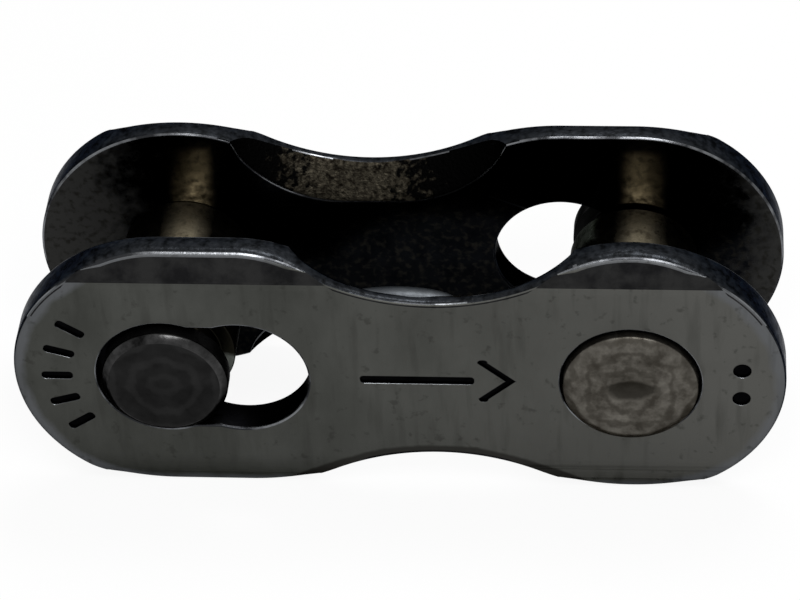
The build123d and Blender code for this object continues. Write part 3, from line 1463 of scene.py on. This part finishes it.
@dataclass
class SteppedPin:
    """A turned pin in the front pin's place. All sizes are millimetres."""

    axis_x: float = PIN_X
    outer_y: float = OUTER_Y
    inner_y: float = INNER_Y
    bearing_radius: float = 1.8
    stud_radius: float = 1.44
    neck_radius: float = 1.4
    head_radius: float = 1.74
    end_face_radius: float = 1.57
    head_proud: float = 0.35            # how far the head stands out of the rear plate
    rivet_proud: float = 0.28           # and the riveted end out of the front plate
    end_bevel: float = 0.16
    dimple_radius: float = 0.62
    dimple_depth: float = 0.09
    neck_early: float = 0.12            # the neck starts this far before the rear plate
    head_play: float = 0.05
    seat_depth: float = SEAT_DEPTH
    rivet_radius: float = 1.84
    rivet_sag: float = 0.05
    punch_reach: float = 0.7            # of the corners that the punch mark's stretching moves
    punch_stretch: tuple[float, float] = (1.05, 0.6)    # across and upright
    peen_depth: float = 0.1             # past a level, that peening still moves
    edge_rounding: float = 0.04
    rounded_above: float = 25           # degrees; a sharper bend between two faces is rounded
    end_face_lean: float = 0.99         # least Y of a normal on the flat of the head's end
    steps: int = 128
    piece: bpy.types.Object = field(init=False)

    def profile(self) -> list[tuple[float, float]]:
        """List the corners of the pin's profile.

        Returns:
            Radius and y of each corner, from the dimple to the middle of the head's face.
        """
        rivet_end = self.outer_y - self.rivet_proud
        rivet_seat = self.outer_y + self.seat_depth
        neck_start = -self.inner_y - self.neck_early
        head_seat = -self.outer_y - self.seat_depth + self.head_play
        head_end = -self.outer_y + self.head_proud
        return [
            (0.0, rivet_end + self.dimple_depth),
            (self.dimple_radius / 2, rivet_end + self.dimple_depth),
            (self.dimple_radius, rivet_end),
            (self.end_face_radius, rivet_end),
            (self.rivet_radius, rivet_end + self.end_bevel),
            (self.rivet_radius, rivet_seat),
            (self.stud_radius, rivet_seat),
            (self.stud_radius, self.inner_y),
            (self.bearing_radius, self.inner_y),
            (self.bearing_radius, neck_start),
            (self.neck_radius, neck_start),
            (self.neck_radius, head_seat),
            (self.head_radius, head_seat),
            (self.head_radius, head_end - self.end_bevel),
            (self.end_face_radius, head_end),
            (0.0, head_end),
        ]

    def build(self) -> bpy.types.Object:
        """Turn the pin from its profile.

        Returns:
            The pin, with one material slot for each zone.
        """
        corners = self.profile()
        start = Vector((self.axis_x, corners[0][1], 0))
        bpy.ops.object.select_all(action="DESELECT")
        bpy.ops.mesh.primitive_plane_add(size=MM, location=start * MM)
        self.piece = bpy.context.object
        apply_place(self.piece)
        with editing(self.piece):
            bpy.ops.mesh.select_all(action="SELECT")
            bpy.ops.mesh.merge(type="CENTER")
            for (old_radius, old_y), (radius, y) in zip(corners, corners[1:]):
                extrude(radius - old_radius, y - old_y, 0)
            bpy.ops.mesh.select_all(action="SELECT")
            sweep(self.axis_x, 0, 360, self.steps)
            bpy.ops.mesh.select_all(action="SELECT")
            bpy.ops.mesh.remove_doubles(threshold=MERGED)
            face_outwards()
        apply_modifier(
            self.piece,
            "BEVEL",
            width=self.edge_rounding * MM,
            segments=3,
            limit_method="ANGLE",
            angle_limit=math.radians(self.rounded_above),
        )
        self.peen()
        smooth_with_flat_faces(self.piece)
        self.dress()
        return self.piece

    def peen(self) -> None:
        """Stretch the punch mark, and let the riveted end sag a little in its recess."""
        punched_y = self.outer_y + self.peen_depth
        sagging_y = self.outer_y + self.seat_depth + self.peen_depth
        across, upright = self.punch_stretch
        with editing(self.piece):
            select_where(
                "VERT",
                lambda v: v.co.y < punched_y * MM and self.off_axis(v.co) < self.punch_reach,
            )
            bpy.ops.transform.resize(
                value=(across, 1, upright), center_override=(self.axis_x * MM, 0, 0)
            )
            select_where("VERT", lambda v: v.co.y < sagging_y * MM)
            bpy.ops.transform.translate(value=(0, 0, -self.rivet_sag * MM))

    def off_axis(self, place: Vector) -> float:
        """Distance of a place, given in metres, from the pin's axis in millimetres."""
        return math.hypot(place.x / MM - self.axis_x, place.z / MM)

    def dress(self) -> None:
        """Give each zone of the pin its steel."""
        for zone in PinZone:
            self.piece.data.materials.append(PIN_STEELS[zone].material())
        corner_y = -self.outer_y + self.head_proud - self.end_bevel - self.edge_rounding
        for face in self.piece.data.polygons:
            y = face.center.y / MM
            if y < self.outer_y + self.seat_depth:
                face.material_index = PinZone.RIVET
            elif y > corner_y and face.normal.y < self.end_face_lean:
                face.material_index = PinZone.CORNER
            elif y > -self.outer_y - self.seat_depth:
                face.material_index = PinZone.HEAD


# --- halves -------------------------------------------------------------------------------------


class Half(Enum):
    """The two halves of the link, by the CAD body that each rides on."""

    FRONT = "front_half"
    REAR = "rear_half"


@dataclass
class LinkHalf:
    """One half of the link: a side plate and the pin riveted into it."""

    side: Half
    plate: bpy.types.Object
    pin: bpy.types.Object

    def other_half(self) -> "LinkHalf":
        """Copy this half's pieces, and turn the copies half a turn about the upright axis.

        Returns:
            The other half.
        """
        copies = []
        for piece in (self.plate, self.pin):
            pick(piece)
            bpy.ops.object.duplicate()
            copy = bpy.context.object
            copy.matrix_world = Matrix.Rotation(math.pi, 4, "Z")
            apply_place(copy)
            copies.append(copy)
        return LinkHalf(Half.REAR, *copies)

    def finish(self, sizes: SidePlate) -> None:
        """Roll the front plate's lip, and set the plate's shading.

        Args:
            sizes: what the plate was made from.
        """
        if self.side is Half.FRONT:
            sizes.roll_waist_lip(self.plate)
        smooth_with_flat_faces(self.plate)

    def fit(self) -> None:
        """Name the pieces, and put them in place of the CAD nodes they stand for."""
        word = self.side.name.lower()
        pieces = (("plate", self.plate, "plate_steel"), ("pin", self.pin, "pin_steel"))
        for part, piece, slot in pieces:
            piece.name = f"{word}_{part}_finished"
            piece.data.name = piece.name
            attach(piece, self.side.value)
            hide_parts(f"{word}_{part}")
            log.info("%s: %d faces", piece.name, len(piece.data.polygons))


# --- studio -------------------------------------------------------------------------------------


@dataclass
class Studio:
    """Pale floor, soft lights and the camera. Lengths are millimetres, angles degrees."""

    floor_z: float
    floor_width: float = 800
    floor_grey: float = 0.86
    room_strength: float = 0.3          # of the white room where it only lights matt surfaces
    # How white the floor is by itself, for each kind of ray that meets it; the rest of it is card.
    floor_whiteness: tuple[float, float, float] = (0.92, 0.25, 0.85)
    room_whiteness: tuple[float, float, float] = (1.0, 1.0, 1.0)
    softbox_size: tuple[float, float] = (60, 30)
    softbox_power: float = 0.07         # watts
    rear_softbox: tuple[float, float, float] = (18, 38, 104)
    front_softbox: tuple[float, float, float] = (14, -58, 95)
    azimuth: float = 6.113
    elevation: float = 40.725
    roll: float = -3.271
    distance: float = 96.81
    aim_right: float = -0.13
    aim_up: float = 0.104
    lens: float = 156.063
    sensor_width: float = 36
    nearest: float = 1                  # that the camera sees

    def build(self) -> None:
        """Set up everything round the link."""
        self.lay_floor()
        self.light_world()
        self.hang_softbox("rear_softbox", self.rear_softbox)
        self.hang_softbox("front_softbox", self.front_softbox)
        self.place_camera()
        bpy.context.scene.view_settings.view_transform = "Standard"

    def lay_floor(self) -> None:
        """Lay a white floor that keeps the link's soft shadow."""
        bpy.ops.object.select_all(action="DESELECT")
        bpy.ops.mesh.primitive_plane_add(
            size=self.floor_width * MM, location=(0, 0, self.floor_z * MM)
        )
        floor = bpy.context.object
        floor.name = "studio_floor"
        apply_place(floor)
        # Matt white card: even, and nearly as white as the background, so only the shadow shows.
        made = bpy.data.materials.new("white_card")
        sheet = NodeSheet.cleared(made)
        grey = self.floor_grey
        card = sheet.add("BsdfDiffuse", {"Color": (grey, grey, grey, 1)})
        white = sheet.add("Emission", {"Color": (1, 1, 1, 1), "Strength": 1.0})
        share = self.whiteness(sheet, self.floor_whiteness)
        parts = {0: share, 1: card.outputs[0], 2: white.outputs[0]}
        mixed = sheet.add("MixShader", links=parts)
        sheet.add("OutputMaterial", links={"Surface": mixed.outputs[0]})
        floor.data.materials.append(made)
        floor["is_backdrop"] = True

    def light_world(self) -> None:
        """Surround the link with plain white, softer where it only lights matt surfaces."""
        world = bpy.data.worlds.new("white_room")
        bpy.context.scene.world = world
        sheet = NodeSheet.cleared(world)
        dim = {"Color": (1, 1, 1, 1), "Strength": self.room_strength}
        room = sheet.add("Background", dim)
        white = sheet.add("Background", {"Color": (1, 1, 1, 1), "Strength": 1.0})
        share = self.whiteness(sheet, self.room_whiteness)
        parts = {0: share, 1: room.outputs[0], 2: white.outputs[0]}
        mixed = sheet.add("MixShader", links=parts)
        sheet.add("OutputWorld", links={"Surface": mixed.outputs[0]})

    def whiteness(self, sheet: NodeSheet, shares: tuple[float, float, float]) -> Socket:
        """Tell how white a surface is to the ray that meets it.

        Args:
            sheet: where the nodes go.
            shares: to the camera's own rays, to reflected ones and to refracted ones.

        Returns:
            The share of white, which is 0 for all other rays.
        """
        path = sheet.add("LightPath").outputs
        rays = ("Is Camera Ray", "Is Glossy Ray", "Is Transmission Ray")
        by_eye, by_metal, by_glass = (
            sheet.add("Math", {1: share}, {0: path[ray]}, operation="MULTIPLY").outputs[0]
            for ray, share in zip(rays, shares)
        )
        seen = {0: by_eye, 1: by_metal}
        either = sheet.add("Math", links=seen, operation="MAXIMUM").outputs[0]
        all_three = {0: either, 1: by_glass}
        return sheet.add("Math", links=all_three, operation="MAXIMUM").outputs[0]

    def hang_softbox(self, name: str, place: tuple[float, float, float]) -> None:
        """Hang a rectangular soft light that faces the link.

        Args:
            name: the light's name.
            place: its middle.
        """
        light = bpy.data.lights.new(name, "AREA")
        light.shape = "RECTANGLE"
        light.size, light.size_y = (length * MM for length in self.softbox_size)
        light.energy = self.softbox_power
        lamp = bpy.data.objects.new(name, light)
        bpy.context.scene.collection.objects.link(lamp)
        lamp.location = Vector(place) * MM
        lamp.rotation_euler = Vector(place).to_track_quat("Z", "Y").to_euler()

    def place_camera(self) -> None:
        """Set the camera above the front plate, a little to the right and slightly rolled."""
        azimuth, elevation, roll = map(math.radians, (self.azimuth, self.elevation, self.roll))
        outwards = math.cos(elevation)
        back = Vector(
            (math.sin(azimuth) * outwards, -math.cos(azimuth) * outwards, math.sin(elevation))
        )
        level = Vector((math.cos(azimuth), math.sin(azimuth), 0))
        upright = back.cross(level)
        right = math.cos(roll) * level + math.sin(roll) * upright
        up = math.cos(roll) * upright - math.sin(roll) * level
        lens = bpy.data.cameras.new("camera")
        lens.sensor_width = self.sensor_width
        lens.lens = self.lens
        lens.clip_start = self.nearest * MM
        camera = bpy.data.objects.new("camera", lens)
        bpy.context.scene.collection.objects.link(camera)
        pose = Matrix((right, up, back)).transposed().to_4x4()
        aim = level * self.aim_right + upright * self.aim_up
        pose.translation = (aim + back * self.distance) * MM
        camera.matrix_world = pose
        bpy.context.scene.camera = camera


def main() -> None:
    """Build both halves and the studio, with the floor at the foot of the CAD parts' box."""
    logging.basicConfig(level=logging.INFO, format="%(name)s: %(message)s")
    cad_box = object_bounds()
    sizes = SidePlate()
    front = LinkHalf(Half.FRONT, sizes.build(), SteppedPin().build())
    rear = front.other_half()
    for half in (front, rear):
        half.finish(sizes)
        half.fit()
    Studio(floor_z=cad_box[0][2] / MM).build()


if __name__ == "__main__":
    main()
